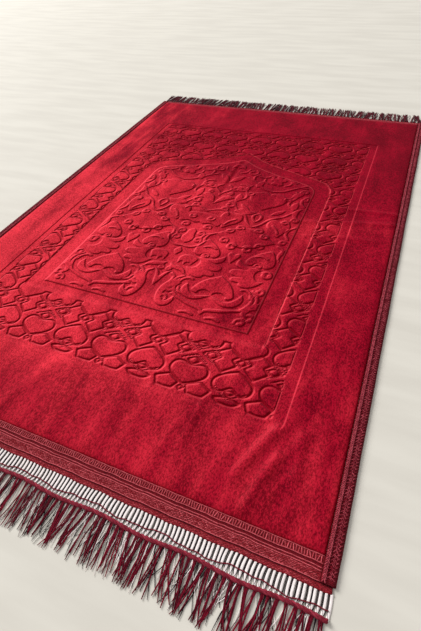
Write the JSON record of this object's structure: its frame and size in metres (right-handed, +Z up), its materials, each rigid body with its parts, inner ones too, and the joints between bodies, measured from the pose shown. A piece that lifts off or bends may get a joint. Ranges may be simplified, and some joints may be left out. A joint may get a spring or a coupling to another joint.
{
  "type": "prayer rug",
  "caption": "Velvet prayer rug lying flat, with an arched niche pressed into its pile, a lattice border, bound long sides, woven headings and a loose fringe at each end.",
  "frame": {"origin": "on the floor under the middle of the whole rug, fringes included", "axes": "+Z up from the floor, +Y along the rug to the niche's pointed end, +X across it to the right"},
  "size_m": [0.8, 1.3114, 0.0055],
  "materials": {
    "velvet": "crimson cut pile with a silky sheen",
    "binding": "maroon overlocked tape",
    "heading": "mauve and maroon ribbed weave",
    "fringe": "dark red yarn with thin dark threads"
  },
  "bodies": {
    "root": {"velvet_panel": "velvet", "binding_left": "binding", "binding_right": "binding", "heading_near": "heading", "heading_far": "heading", "fringe_near": "fringe", "fringe_far": "fringe"}
  },
  "joints": []
}
